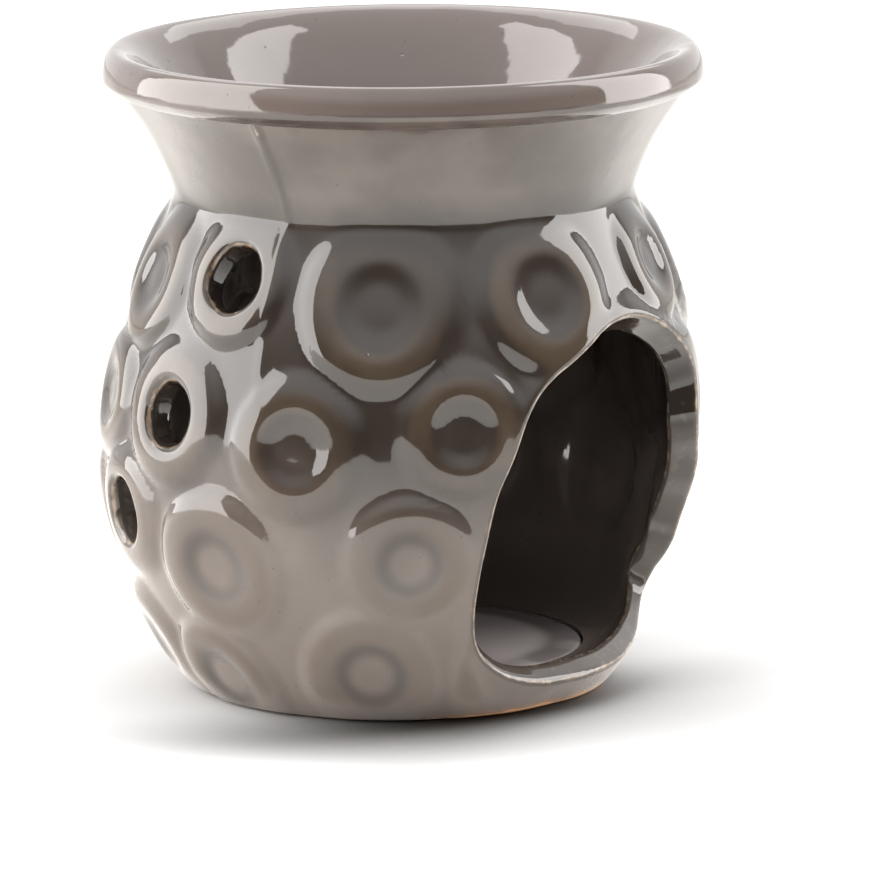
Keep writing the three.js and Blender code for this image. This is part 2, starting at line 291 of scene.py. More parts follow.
# The low ridge that the mould's two halves leave down the wall and the collar, with a knob on the collar.
def seam_ridge(azimuth, z):
    path = math.radians(SEAM_AZIMUTH) + 0.012 * np.sin(z * 0.16)
    turn = azimuth - path
    across = np.arctan2(np.sin(turn), np.cos(turn)) * SEAM_RADIUS
    knob = 0.25 * np.exp(-((z - 108.5) / 1.6) ** 2)
    return (SEAM_HEIGHT + knob) * np.exp(-((across / SEAM_WIDTH) ** 2)) * smoothstep(z, 55, 66)


# The pot's lower half is a touch fuller and stands a little to one side of its neck.
def lean(azimuth, z):
    return (LEAN * np.cos(azimuth - LEAN_AZIMUTH) + SWELL) * (1 - smoothstep(z, 32, 72))


# The outer face: the wall and the collar, joined in a small hollow, with the slight unevenness of the hand.
def outer_radius(azimuth, z):
    wall = crown_radius(z) - MOUND_RISE * (1 - relief(azimuth, z))
    collar = collar_radius(z)
    hollow = 0.9
    joined = (wall + collar + np.sqrt((wall - collar) ** 2 + hollow ** 2)) / 2
    hand = 0.12 * np.sin(3 * azimuth + z * 0.05) + 0.08 * np.sin(7 * azimuth - z * 0.11)
    swell = seam_ridge(azimuth, z) + hand * smoothstep(z, 2, 20) + lean(azimuth, z)
    return np.where(z > NECK_HEIGHT + 6, collar, joined) + swell


# The inner face: the mounds print through it weakly, and it narrows to the throat at the dish's underside.
def inner_radius(azimuth, z):
    printed = MOUND_RISE * (1 - PRINT_THROUGH * relief(azimuth, z))
    chamber = crown_radius(z) - printed - WALL + lean(azimuth, z)
    chamber = lerp(chamber, THROAT_RADIUS, smoothstep(z, DISH_UNDERSIDE - 6, DISH_UNDERSIDE))
    return np.where(z >= NECK_HEIGHT, collar_radius(z) - COLLAR_WALL, chamber)


# A place in space.
def point(azimuth, radius, z):
    return np.stack([radius * np.sin(azimuth), -radius * np.cos(azimuth), z + 0 * azimuth], axis=-1)


def outer_point(across, up):
    azimuth = across / UNROLL
    return point(azimuth, outer_radius(azimuth, up), up)


# The distance from the axis and the height that a place on the flat sheet has on the inner face.
def inner_place(across, up):
    azimuth = across / UNROLL
    turn = np.clip((up - COVE_START) / (COVE_TOP - COVE_START), 0, 1) * math.pi / 2
    cove_radius = lerp(SEAT_RADIUS, inner_radius(azimuth, COVE_TOP + 0 * azimuth), np.sin(turn))
    cove_height = DISC_TOP + (COVE_TOP - DISC_TOP) * (1 - np.cos(turn))
    radius = np.where(up > COVE_TOP, inner_radius(azimuth, up), cove_radius)
    height = np.where(up > COVE_TOP, up, cove_height)
    in_foot = up < COVE_START
    foot_up, foot_radius, foot_height = zip(*FOOT_INSIDE)
    radius = np.where(in_foot, np.interp(up, foot_up, foot_radius), radius)
    height = np.where(in_foot, np.interp(up, foot_up, foot_height), height)
    return radius, height


def inner_point(across, up):
    radius, height = inner_place(across, up)
    return point(across / UNROLL, radius, height)


# The row of the flat sheet that comes to a height on the inner face.
def inner_up(height):
    turn = np.arccos(np.clip(1 - (height - DISC_TOP) / (COVE_TOP - DISC_TOP), -1, 1))
    return np.where(height > COVE_TOP, height, COVE_START + (COVE_TOP - COVE_START) * turn / (math.pi / 2))


# Where a line from the middle of the chamber to the doorway's outline meets a face of the wall. Every round
# of the loop comes closer.
def along_the_knife(azimuth, height, radius_at):
    middle = DOOR_MIDDLE_HEIGHT
    full = crown_radius(height)
    share = np.full_like(full, 0.95)
    for _ in range(30):
        z = middle + share * (height - middle)
        share = lerp(share, radius_at(azimuth, z) / full, 0.6)
    return middle + share * (height - middle)


def cove_or_wall_radius(azimuth, z):
    radius, _ = inner_place(azimuth * UNROLL, inner_up(np.maximum(z, DISC_TOP)))
    return radius


# An opening in the flat sheet, with its outline on both faces for every direction from its middle.
class Opening:
    def __init__(self, middle, half_width, low, high, steps, lip, outer, inner):
        self.middle = middle
        self.half_width = half_width
        self.low = low
        self.high = high
        self.steps = steps
        self.lip = lip
        directions = np.arctan2(outer[:, 1] - middle[1], outer[:, 0] - middle[0])
        order = np.argsort(directions)
        self.directions = directions[order]
        self.outer = outer[order]
        self.inner = inner[order]
        ahead = np.roll(self.outer, -2, axis=0) - np.roll(self.outer, 2, axis=0)
        out = np.stack([ahead[:, 1], -ahead[:, 0]], axis=1)
        self.outward = out / np.linalg.norm(out, axis=1)[:, None]

    def at(self, direction, what):
        table = getattr(self, what)
        x = np.interp(direction, self.directions, table[:, 0], period=2 * math.pi)
        y = np.interp(direction, self.directions, table[:, 1], period=2 * math.pi)
        return np.stack([x, y], axis=1)

    def holds(self, x, y, margin=0.0):
        beside = abs(x - self.middle[0]) < self.half_width + margin
        return beside and self.low - margin < y < self.high + margin


def doorway_opening():
    outline = closed_curve(DOOR_OUTLINE, 720)
    azimuth, height = np.radians(outline[:, 0]), outline[:, 1]
    outer_height = along_the_knife(azimuth, height, outer_radius)
    inner_height = along_the_knife(azimuth, height, cove_or_wall_radius)
    outer = np.stack([azimuth * UNROLL, outer_height], axis=1)
    inner = np.stack([azimuth * UNROLL, inner_up(inner_height)], axis=1)
    return Opening(middle=(6.0, 38.0), half_width=47.0, low=2.0, high=84.0, steps=14, lip=1.0,
                   outer=outer, inner=inner)


# A vent is drilled square to the wall, and its edge is a little ragged.
def vent_opening(degrees, height, phase):
    turn = np.arange(180) / 180 * 2 * math.pi
    ragged = VENT_RADIUS + 0.16 * np.sin(2 * turn + phase) + 0.08 * np.sin(5 * turn + 2 * phase)
    across, up = ragged * np.cos(turn), ragged * np.sin(turn)
    radius = float(crown_radius(np.array(height)))
    slope = float(crown_radius(np.array(height + 1)) - crown_radius(np.array(height - 1))) / 2
    middle = math.radians(degrees) * UNROLL
    outer = np.stack([middle + across / radius * UNROLL, height + up], axis=1)
    inner = np.stack([middle + across / (radius - WALL) * UNROLL, height + up + slope * WALL], axis=1)
    window = 8.8
    return Opening(middle=(middle, height), half_width=window, low=height - window, high=height + window,
                   steps=8, lip=1.3, outer=outer, inner=inner)


OPENINGS = [doorway_opening()] + [
    vent_opening(degrees, height, 1.7 * n)
    for n, (degrees, height, size, pierced) in enumerate(MOUNDS) if pierced
]


# Modelling moves
def add(primitive, name, **size):
    bpy.ops.object.select_all(action="DESELECT")
    primitive(**size)
    piece = bpy.context.object
    piece.name = piece.data.name = name
    return piece


def edit(piece):
    bpy.ops.object.mode_set(mode="EDIT")
    return bmesh.from_edit_mesh(piece.data)


def done_editing():
    bpy.ops.object.mode_set(mode="OBJECT")


def pick(mesh, verts=(), edges=(), faces=(), mode="VERT"):
    bpy.ops.mesh.select_mode(type=mode)
    bpy.ops.mesh.select_all(action="DESELECT")
    for item in (*verts, *edges, *faces):
        item.select = True
    mesh.select_flush_mode()


# Flat places that are looked up again by where they are.
class Places:
    def __init__(self, points):
        self.tree = KDTree(len(points))
        for i, (x, y) in enumerate(points):
            self.tree.insert((x, y, 0), i)
        self.tree.balance()

    def find(self, x, y, reach=0.02):
        _, i, gap = self.tree.find((x, y, 0))
        return i if gap < reach else None


# The flat sheet of the pot's wall, one cell about a millimetre.
def lay_out_sheet():
    columns = np.linspace(-math.pi * UNROLL, math.pi * UNROLL, COLUMNS + 1)
    rows = [row for row, _, _ in FOOT_INSIDE[:-1]] + list(np.linspace(COVE_START, EDGE_TOP, ROWS))
    last = len(rows) - 1
    sheet = add(bpy.ops.mesh.primitive_grid_add, "burner_body", x_subdivisions=COLUMNS, y_subdivisions=last)
    mesh = edit(sheet)
    for v in mesh.verts:
        column = round((v.co.x + 1) / 2 * COLUMNS)
        row = round((v.co.y + 1) / 2 * last)
        v.co = (columns[column], rows[row], 0)
    bmesh.update_edit_mesh(sheet.data)
    return sheet


# Cuts a square window in the sheet and brings its edge inwards, ring after ring, to the opening's outline.
def open_up(sheet, opening, inner_of, rims):
    mesh = bmesh.from_edit_mesh(sheet.data)
    inside = [f for f in mesh.faces if opening.holds(*f.calc_center_median().xy)]
    pick(mesh, faces=inside, mode="FACE")
    bpy.ops.mesh.delete(type="FACE")
    mesh = bmesh.from_edit_mesh(sheet.data)
    edges = []
    for e in mesh.edges:
        x, y = e.verts[0].co.xy
        at_window = opening.holds(x, y, margin=1.2) and EDGE_BOTTOM + 0.5 < y < EDGE_TOP - 1
        if len(e.link_faces) == 1 and at_window:
            edges.append(e)
    start = np.array([v.co.xy[:] for v in {v for e in edges for v in e.verts}])
    direction = np.arctan2(start[:, 1] - opening.middle[1], start[:, 0] - opening.middle[0])
    corner_out, corner_in = opening.at(direction, "outer"), opening.at(direction, "inner")
    outward = opening.at(direction, "outward")
    goal_out, goal_in = corner_out + outward * opening.lip, corner_in + outward * opening.lip
    pick(mesh, edges=edges, mode="EDGE")
    before = start
    for step in range(1, opening.steps + 1):
        share = 1 - (1 - step / opening.steps) ** 1.35
        after = lerp(start, goal_out, share)
        bpy.ops.mesh.extrude_region_move()
        mesh = bmesh.from_edit_mesh(sheet.data)
        places = Places(before)
        for v in mesh.verts:
            if v.select:
                v.co.xy = after[places.find(*v.co.xy)]
        inner_of += zip(after, lerp(start, goal_in, share))
        before = after
    rims += zip(after, corner_out, corner_in, goal_in)
    bmesh.update_edit_mesh(sheet.data)
    return after


def places_of(piece):
    flat = np.empty(len(piece.data.vertices) * 3)
    piece.data.vertices.foreach_get("co", flat)
    return flat.reshape(-1, 3)


# Rolls the flat wall up: each flat place goes to its place on the pot. Gives back the flat places and how
# thin the glaze runs on the rounded edges.
def roll_up(sheet, inner_of, rims):
    across, up, depth = places_of(sheet).T
    solid = outer_point(across, up)
    inner = depth > DEPTH - 0.01
    in_across, in_up = across.copy(), up.copy()
    moved = Places([p for p, _ in inner_of])
    for i in np.nonzero(inner)[0]:
        found = moved.find(across[i], up[i])
        if found is not None:
            in_across[i], in_up[i] = inner_of[found][1]
    solid[inner] = inner_point(in_across[inner], in_up[inner])
    thin = round_edges(solid, across, up, depth, rims)
    sheet.data.vertices.foreach_set("co", (solid * MM).ravel())
    return across, up, depth, thin


# Takes each line across an edge from the outer face round two corners to the inner face.
def round_edges(solid, across, up, depth, rims):
    edge = np.nonzero((depth > 0.01) & (depth <= DEPTH - 0.01))[0]
    first = edge[depth[edge] < DEPTH / EDGE_STEPS * 1.5]
    from_place = np.stack([across[first], up[first]], axis=1)
    out_place, in_place, to_place = from_place.copy(), from_place.copy(), from_place.copy()
    cut = Places([p for p, *_ in rims])
    for n, place in enumerate(from_place):
        found = cut.find(*place)
        if found is not None:
            _, out_place[n], in_place[n], to_place[n] = rims[found]
    start, out_corner = outer_point(*from_place.T), outer_point(*out_place.T)
    end, in_corner = inner_point(*to_place.T), inner_point(*in_place.T)
    azimuth = from_place[:, 0] / UNROLL
    level = 0 * azimuth
    foot = up[first] < EDGE_BOTTOM + 0.5
    out_corner[foot] = point(azimuth, outer_radius(azimuth, level), level)[foot]
    in_corner[foot] = point(azimuth, POURING_HOLE + level, level)[foot]
    top = up[first] > EDGE_TOP - 0.5
    out_corner[top] = point(azimuth, collar_radius(COLLAR_TOP + level), COLLAR_TOP + level)[top]
    in_corner[top] = out_corner[top] - point(azimuth, COLLAR_WALL + level, level)[top]
    way = in_corner - out_corner
    length = np.linalg.norm(way, axis=1)[:, None]
    round_out = np.linalg.norm(start - out_corner, axis=1)[:, None]
    round_in = np.linalg.norm(end - in_corner, axis=1)[:, None]
    eased = np.where(foot, 2.6, 1.1)[:, None]
    turn_out = out_corner + way / length * np.minimum(round_out * eased, length * 0.45)
    turn_in = in_corner - way / length * np.minimum(round_in, length * 0.45)
    thin = np.zeros(len(depth))
    lines = Places(from_place)
    for i in edge:
        n = lines.find(across[i], up[i])
        step = depth[i] / DEPTH * EDGE_STEPS
        if step < ROUNDED:
            t = step / ROUNDED
            solid[i] = on_bend(start[n], out_corner[n], turn_out[n], t)
            thin[i] = 0.85 - 2.2 * abs(t - 0.5)
        elif step <= EDGE_STEPS - ROUNDED:
            solid[i] = lerp(turn_out[n], turn_in[n], (step - ROUNDED) / (EDGE_STEPS - 2 * ROUNDED))
        else:
            t = (step - EDGE_STEPS + ROUNDED) / ROUNDED
            solid[i] = on_bend(turn_in[n], in_corner[n], end[n], t)
            thin[i] = 0.7 - 2.2 * abs(t - 0.5)
    return thin


def write_mask(piece, name, values):
    mask = piece.data.attributes.new(name, "FLOAT", "POINT")
    mask.data.foreach_set("value", np.asarray(values, float))


def finish_mesh(piece, angle=50):
    edit(piece)
    bpy.ops.mesh.select_all(action="SELECT")
    bpy.ops.mesh.remove_doubles(threshold=0.02 * MM)
    bpy.ops.mesh.normals_make_consistent(inside=False)
    done_editing()
    bpy.ops.object.shade_smooth_by_angle(angle=math.radians(angle))


# Draws the sheet out to its inner face, removes the walls at its two ends and divides its edges in steps.
def give_thickness(sheet):
    bpy.ops.mesh.select_all(action="SELECT")
    bpy.ops.mesh.extrude_region_move(TRANSFORM_OT_translate={"value": (0, 0, DEPTH)})
    mesh = bmesh.from_edit_mesh(sheet.data)
    side = math.pi * UNROLL - 0.01
    ends = [f for f in mesh.faces if abs(f.calc_center_median().x) > side]
    pick(mesh, faces=ends, mode="FACE")
    bpy.ops.mesh.delete(type="ONLY_FACE")
    mesh = bmesh.from_edit_mesh(sheet.data)
    through = [e for e in mesh.edges if abs(e.verts[0].co.z - e.verts[1].co.z) > 1 and e.link_faces]
    pick(mesh, edges=through, mode="EDGE")
    bpy.ops.mesh.subdivide(number_cuts=EDGE_STEPS - 1)
    mesh = bmesh.from_edit_mesh(sheet.data)
    pick(mesh, verts=[v for v in mesh.verts if not v.link_faces])
    bpy.ops.mesh.delete(type="VERT")
    done_editing()


# The gap from each flat place to the nearest opening's lip, where that is small.
def gap_to_lips(across, up, lips):
    nearest = np.full(len(up), 9.0)
    for opening, lip in zip(OPENINGS, lips):
        beside = abs(across - opening.middle[0]) < opening.half_width + 2
        close = beside & (up > opening.low) & (up < opening.high)
        for i in np.array_split(np.nonzero(close)[0], 20):
            gap = np.hypot(across[i, None] - lip[None, :, 0], up[i, None] - lip[None, :, 1]).min(axis=1)
            nearest[i] = np.minimum(nearest[i], gap)
    return nearest


# Where the glaze runs thin: on rounded edges, round the openings and along the seam. Then the crowns of the
# mounds, and the crater mask for painted shade on the craters' sides and the openings' cut faces, which
# also marks the seam.
def mask_pot(sheet, across, up, depth, thin, lips):
    azimuth = across / UNROLL
    thin = np.maximum(thin, 0.42 * np.exp(-((gap_to_lips(across, up, lips) / 0.7) ** 2)))
    seam = np.where(depth < 1, seam_ridge(azimuth, up), 0)
    write_mask(sheet, "thin_glaze", np.maximum(thin, 1.5 * seam))
    outside = (depth < 1) & (up < NECK_HEIGHT)
    write_mask(sheet, "crown", np.where(outside, relief(azimuth, up), 0.3))
    hollow = np.where(outside, crater(azimuth, up), 0)
    cut_face = (depth > 0.01) & (depth < DEPTH - 0.01) & (up > EDGE_BOTTOM + 0.5)
    # Painted shade: the openings' cut faces get half the crater mask, which darkens them towards the body
    # colour.
    hollow = np.where(cut_face, 0.5, hollow)
    write_mask(sheet, "crater", np.maximum(hollow, np.minimum(seam * 2, 0.5)))


def make_pot():
    sheet = lay_out_sheet()
    inner_of, rims = [], []
    lips = [open_up(sheet, opening, inner_of, rims) for opening in OPENINGS]
    give_thickness(sheet)
    across, up, depth, thin = roll_up(sheet, inner_of, rims)
    mask_pot(sheet, across, up, depth, thin, lips)
    finish_mesh(sheet)
    return sheet


# A piece turned on the wheel: a ring of points is drawn along its outline of (radius, height), starting and
# ending on the axis.
def turn_on_wheel(name, outline, sides=192):
    radius, height = outline[0]
    piece = add(bpy.ops.mesh.primitive_circle_add, name, vertices=sides, radius=radius * MM,
                fill_type="TRIFAN", location=(0, 0, height * MM))
    bpy.ops.object.transform_apply(location=True, rotation=True, scale=True)
    mesh = edit(piece)
    rim = [e for e in mesh.edges if len(e.link_faces) == 1]
    pick(mesh, edges=rim, mode="EDGE")
    for to_radius, to_height in outline[1:]:
        rise = (0, 0, (to_height - height) * MM)
        bpy.ops.mesh.extrude_region_move(TRANSFORM_OT_translate={"value": rise})
        share = to_radius / radius
        bpy.ops.transform.resize(value=(share, share, 1), center_override=(0, 0, 0))
        radius, height = to_radius, to_height
    bpy.ops.mesh.merge(type="CENTER")
    done_editing()
    return piece


# A quarter of an oval: from its side to its top, or to its foot where `up` is negative.
def quarter_round(radius, height, across, up, steps):
    turns = np.linspace(0, math.pi / 2, steps + 1)
    return [(radius + across * math.cos(a), height + up * math.sin(a)) for a in turns]


def soft_bend(start, corner, end, steps):
    t = np.linspace(0, 1, steps + 1)[:, None]
    start, corner, end = (np.array(p, float) for p in (start, corner, end))
    return [tuple(p) for p in on_bend(start, corner, end, t)]


# A bend with two corners, which is stiffer at its ends.
def long_bend(start, corner, next_corner, end, steps):
    t = np.linspace(0, 1, steps + 1)[:, None]
    a, b, c, d = (np.array(p, float) for p in (start, corner, next_corner, end))
    return [tuple(p) for p in on_bend(lerp(a, b, t), lerp(b, c, t), lerp(c, d, t), t)]


def straight(radius_at, from_height, to_height, count):
    return [(radius_at(z), z) for z in np.linspace(from_height, to_height, count)]


# The dish's outer and inner face, just inside the collar, and the collar's outer face.
def dish_outside(z):
    return collar_face(max(z, NECK_HEIGHT)) - COLLAR_WALL - DISH_GAP


def dish_inside(z):
    return dish_outside(z) - DISH_WALL


def collar_face(z):
    return float(collar_radius(np.array(z)))


# The flat foot, the wall inside the collar and the seat on the collar's top.
def dish_underside():
    turn = 3
    foot = quarter_round(dish_outside(NECK_HEIGHT) - turn, DISH_UNDERSIDE + turn, turn, -turn, 6)
    outline = [(12, DISH_UNDERSIDE), (24, DISH_UNDERSIDE), *foot[::-1]]
    outline += straight(dish_outside, NECK_HEIGHT, COLLAR_TOP - 0.6, 14)
    seat = COLLAR_TOP + 0.03
    return outline + [(dish_outside(seat) + 0.4, seat), (COLLAR_TOP_RADIUS - 0.6, seat)]


# The rolled lip: a skirt that laps over the collar, out to the widest place and up to the crest.
def dish_lip():
    skirt = COLLAR_TOP - SKIRT
    outline = straight(lambda z: collar_face(z) + 0.02, COLLAR_TOP - 0.35, skirt, 6)
    tip = outline[-1][0]
    outline += soft_bend((tip, skirt), (tip + 0.95, skirt + 0.35), (LIP_RADIUS, skirt + 2.1), 8)[1:]
    roll = LIP_RADIUS - CREST_RADIUS
    return outline + quarter_round(CREST_RADIUS, LIP_WIDEST, roll, CREST_HEIGHT - LIP_WIDEST, 14)


# The bowl: from the crest over a soft shoulder, down the wall and round to the flat floor.
def dish_bowl():
    wall_top = CREST_HEIGHT - 11
    wall_radius = dish_inside(wall_top)
    slope = wall_radius - dish_inside(wall_top - 1)
    shoulder = (CREST_RADIUS - 3.5, CREST_HEIGHT)
    hip = (wall_radius + slope * 5.5, wall_top + 5.5)
    outline = long_bend((CREST_RADIUS, CREST_HEIGHT), shoulder, hip, (wall_radius, wall_top), 14)[1:]
    turn_radius = 14
    turn_height = 8.4
    wall_foot = DISH_FLOOR + turn_height
    outline += straight(dish_inside, wall_top, wall_foot, 14)[1:-1]
    outline += quarter_round(dish_inside(wall_foot) - turn_radius, wall_foot, turn_radius, -turn_height, 14)
    return outline + [(16, DISH_FLOOR), (8, DISH_FLOOR), (2, DISH_FLOOR)]


def make_dish():
    dish = turn_on_wheel("oil_dish", dish_underside() + dish_lip() + dish_bowl())
    finish_mesh(dish, 60)
    x, y, z = places_of(dish).T / MM
    radius = np.hypot(x, y)
    crest = np.exp(-(((radius - CREST_RADIUS + 0.6) / 0.9) ** 2)) * (z > CREST_HEIGHT - 0.8)
    write_mask(dish, "thin_glaze", 0.45 * crest)
    # Painted shade: the crown mask darkens the lip's underside, where it hangs in shade, with the dish's
    # dark crown colour.
    painted_shade_under_lip = (radius > 52) * (1 - smoothstep(z, 112.8, 115.6))
    write_mask(dish, "crown", painted_shade_under_lip)
    write_mask(dish, "crater", np.zeros(len(z)))
    return dish


# The floor disc, flat, with an eased edge.
def make_floor_disc():
    under_edge = 0.6
    top_edge = 0.9
    outline = [(10, DISC_UNDERSIDE), (24, DISC_UNDERSIDE), (DISC_RADIUS - under_edge, DISC_UNDERSIDE)]
    outline += [(DISC_RADIUS, DISC_UNDERSIDE + under_edge), (DISC_RADIUS, DISC_TOP - top_edge)]
    outline += quarter_round(DISC_RADIUS - top_edge, DISC_TOP - top_edge, top_edge, top_edge, 5)[1:]
    outline += [(radius, DISC_TOP) for radius in (29, 27, 25, 23, 21, 19, 16, 8, 2)]
    disc = turn_on_wheel("chamber_floor", outline, sides=128)
    finish_mesh(disc, 40)
    radius = np.hypot(*places_of(disc).T[:2]) / MM
    write_mask(disc, "thin_glaze", np.zeros(len(radius)))
    # Painted shade: the crown mask darkens the disc towards its edge, where it lies in the chamber's shade.
    write_mask(disc, "crown", 0.7 + 0.45 * smoothstep(radius, 22, 31))
    write_mask(disc, "crater", np.zeros(len(radius)))
    return disc


# Materials
BROKEN = (0.30, 0.23, 0.165)
BURNT = (0.15, 0.085, 0.045)
IRON = (0.03, 0.016, 0.008)
CLAY = (0.42, 0.22, 0.10)
PALE_CLAY = (0.56, 0.33, 0.17)
TOASTED = (0.30, 0.16, 0.08)


def new_group(name, inputs, outputs):
    group = bpy.data.node_groups.new(name, "ShaderNodeTree")
    for label, kind in inputs:
        group.interface.new_socket(name=label, in_out="INPUT", socket_type=kind)
    for label, kind in outputs:
        group.interface.new_socket(name=label, in_out="OUTPUT", socket_type=kind)
    return group, group.nodes.new("NodeGroupInput"), group.nodes.new("NodeGroupOutput")


def ramp(group, value, low, high, to_low=0.0, to_high=1.0):
    node = group.nodes.new("ShaderNodeMapRange")
    node.interpolation_type = "SMOOTHSTEP"
    for label, number in (("From Min", low), ("From Max", high), ("To Min", to_low), ("To Max", to_high)):
        node.inputs[label].default_value = number
    group.links.new(value, node.inputs["Value"])
    return node.outputs["Result"]


def maths(group, operation, a, b):
    node = group.nodes.new("ShaderNodeMath")
    node.operation = operation
    for place, value in enumerate((a, b)):
        if isinstance(value, (int, float)):
            node.inputs[place].default_value = value
        else:
            group.links.new(value, node.inputs[place])
    return node.outputs["Value"]


def noise(group, where, scale, detail=2.0):
    node = group.nodes.new("ShaderNodeTexNoise")
    node.inputs["Scale"].default_value = scale
    node.inputs["Detail"].default_value = detail
    group.links.new(where, node.inputs["Vector"])
    return node.outputs["Fac"]


def blend(group, share, a, b):
    node = group.nodes.new("ShaderNodeMix")
    node.data_type = "RGBA"
    group.links.new(share, node.inputs[0])
    for place, value in ((6, a), (7, b)):
        if isinstance(value, tuple):
            node.inputs[place].default_value = (*value, 1)
        else:
            group.links.new(value, node.inputs[place])
    return node.outputs[2]


def times(group, a, b):
    return maths(group, "MULTIPLY", a, b)


def height_of(group, where):
    node = group.nodes.new("ShaderNodeSeparateXYZ")
    group.links.new(where, node.inputs["Vector"])
    return node.outputs["Z"]


# How far a place lies along a direction.
def along(group, where, direction):
    node = group.nodes.new("ShaderNodeVectorMath")
    node.operation = "DOT_PRODUCT"
    node.inputs[1].default_value = direction
    group.links.new(where, node.inputs[0])
    return node.outputs["Value"]


# The distance to the nearest of the dots that are strewn through a material.
def strewn_dots(group, where, scale):
    node = group.nodes.new("ShaderNodeTexVoronoi")
    node.inputs["Scale"].default_value = scale
    group.links.new(where, node.inputs["Vector"])
    return node.outputs["Distance"]


# The glaze's colour: clouded, paler low down and on the collar as painted light from the floor, another
# shade where the crown mask is high, which under the dish's lip and round the disc's edge is painted shade,
# darker on the craters' sides as painted shade, tan and brown where it breaks thin over an edge, with fine
# iron specks.
def glaze_colour_group():
    group, given, result = new_group(
        "glaze_colour",
        [("Place", "NodeSocketVector"), ("Thin", "NodeSocketFloat"), ("Crown", "NodeSocketFloat"),
         ("Painted crater shade and seam", "NodeSocketFloat"), ("Body", "NodeSocketColor"), ("Painted light colour", "NodeSocketColor"),
         ("Crown and painted shade colour", "NodeSocketColor"), ("Broken", "NodeSocketColor"), ("Burnt", "NodeSocketColor")],
        [("Color", "NodeSocketColor"), ("Thinned", "NodeSocketFloat")],
    )
    place = given.outputs["Place"]
    height = height_of(group, place)
    cloud = noise(group, place, 55, 3)

    # Painted light: the glaze is made paler low down and on the collar, where those faces catch the bright
    # floor's light; the cloud only adds random tone.
    painted_light_low_down = ramp(group, height, 0.066, 0.022, 0.0, 0.86)
    painted_light_on_collar = ramp(group, height, 0.088, 0.098, 0.0, 0.47)
    painted_light_and_cloud = maths(group, "ADD", painted_light_low_down, painted_light_on_collar)
    painted_light_and_cloud = maths(group, "ADD", painted_light_and_cloud, ramp(group, cloud, 0.36, 0.66, -0.1, 0.14))
    colour = blend(group, ramp(group, painted_light_and_cloud, 0.0, 1.0), given.outputs["Body"], given.outputs["Painted light colour"])

    # On the pot's mounds the crown colour is the crowns' own shade; under the dish's lip and round the
    # disc's edge it is painted shade.
    crown = ramp(group, given.outputs["Crown"], 0.7, 1.0)
    crown = times(group, crown, ramp(group, cloud, 0.35, 0.6, 0.2, 0.6))
    colour = blend(group, crown, colour, given.outputs["Crown and painted shade colour"])

    # Painted shade: the crater mask darkens the craters' sloping sides and the openings' cut faces towards
    # the body colour; along the seam it gives the seam's own dark line.
    crater = given.outputs["Painted crater shade and seam"]
    painted_shade_and_seam = times(group, crater, maths(group, "SUBTRACT", 1.0, crater))
    colour = blend(group, times(group, painted_shade_and_seam, 2.5), colour, given.outputs["Body"])

    ragged = ramp(group, noise(group, place, 480, 3), 0.3, 0.7, -0.22, 0.14)
    thinned = ramp(group, maths(group, "ADD", given.outputs["Thin"], ragged), 0.48, 0.8)
    hot = times(group, thinned, ramp(group, noise(group, place, 330, 2), 0.42, 0.62))
    edge = blend(group, hot, given.outputs["Broken"], given.outputs["Burnt"])
    colour = blend(group, times(group, thinned, 0.75), colour, edge)

    sown = ramp(group, noise(group, place, 150, 1), 0.52, 0.66)
    specks = times(group, ramp(group, strewn_dots(group, place, 420), 0.13, 0.07), sown)
    colour = blend(group, times(group, specks, 0.45), colour, IRON)
    group.links.new(colour, result.inputs["Color"])
    group.links.new(thinned, result.inputs["Thinned"])
    return group


# The glaze's surface: a slow unevenness in the reflections, a finer one, and pinholes.
def glaze_surface_group():
    group, given, result = new_group(
        "glaze_surface", [("Place", "NodeSocketVector")], [("Height", "NodeSocketFloat")])
    place = given.outputs["Place"]
    fine = times(group, noise(group, place, 420, 1), 0.06)
    uneven = maths(group, "ADD", noise(group, place, 90, 1), fine)
    sown = ramp(group, noise(group, place, 60, 1), 0.58, 0.66)
    pinholes = times(group, ramp(group, strewn_dots(group, place, 190), 0.07, 0.03), sown)
    height = maths(group, "SUBTRACT", uneven, times(group, pinholes, 0.8))
    group.links.new(height, result.inputs["Height"])
    return group


# Bare clay at the foot, mostly below the doorway: orange brown, with a toasted line where the glaze ends.
def bare_clay_group():
    group, given, result = new_group(
        "bare_clay",
        [("Place", "NodeSocketVector"), ("Color", "NodeSocketColor"), ("Limit", "NodeSocketFloat")],
        [("Color", "NodeSocketColor"), ("Bare", "NodeSocketFloat")],
    )
    place = given.outputs["Place"]
    below_doorway = along(group, place, (-0.14, -0.99, 0))
    limit = times(group, given.outputs["Limit"], ramp(group, below_doorway, 0.026, 0.036, 0.1, 1.3))
    waver = ramp(group, noise(group, place, 160, 2), 0.3, 0.7, -0.0002, 0.0004)
    over = maths(group, "SUBTRACT", maths(group, "ADD", height_of(group, place), waver), limit)
    bare = ramp(group, over, 0.0002, -0.0002)
    near_limit = ramp(group, over, 0.0011, 0.0)
    toasted = times(group, near_limit, ramp(group, below_doorway, 0.026, 0.036, 0.15, 1.0))
    clay = blend(group, noise(group, place, 900, 2), CLAY, PALE_CLAY)
    colour = blend(group, times(group, toasted, 0.7), given.outputs["Color"], TOASTED)
    group.links.new(blend(group, bare, colour, clay), result.inputs["Color"])
    group.links.new(bare, result.inputs["Bare"])
    return group


GROUPS = {}


def use_group(tree, name, make):
    if name not in GROUPS:
        GROUPS[name] = make()
    node = tree.nodes.new("ShaderNodeGroup")
    node.node_tree = GROUPS[name]
    return node
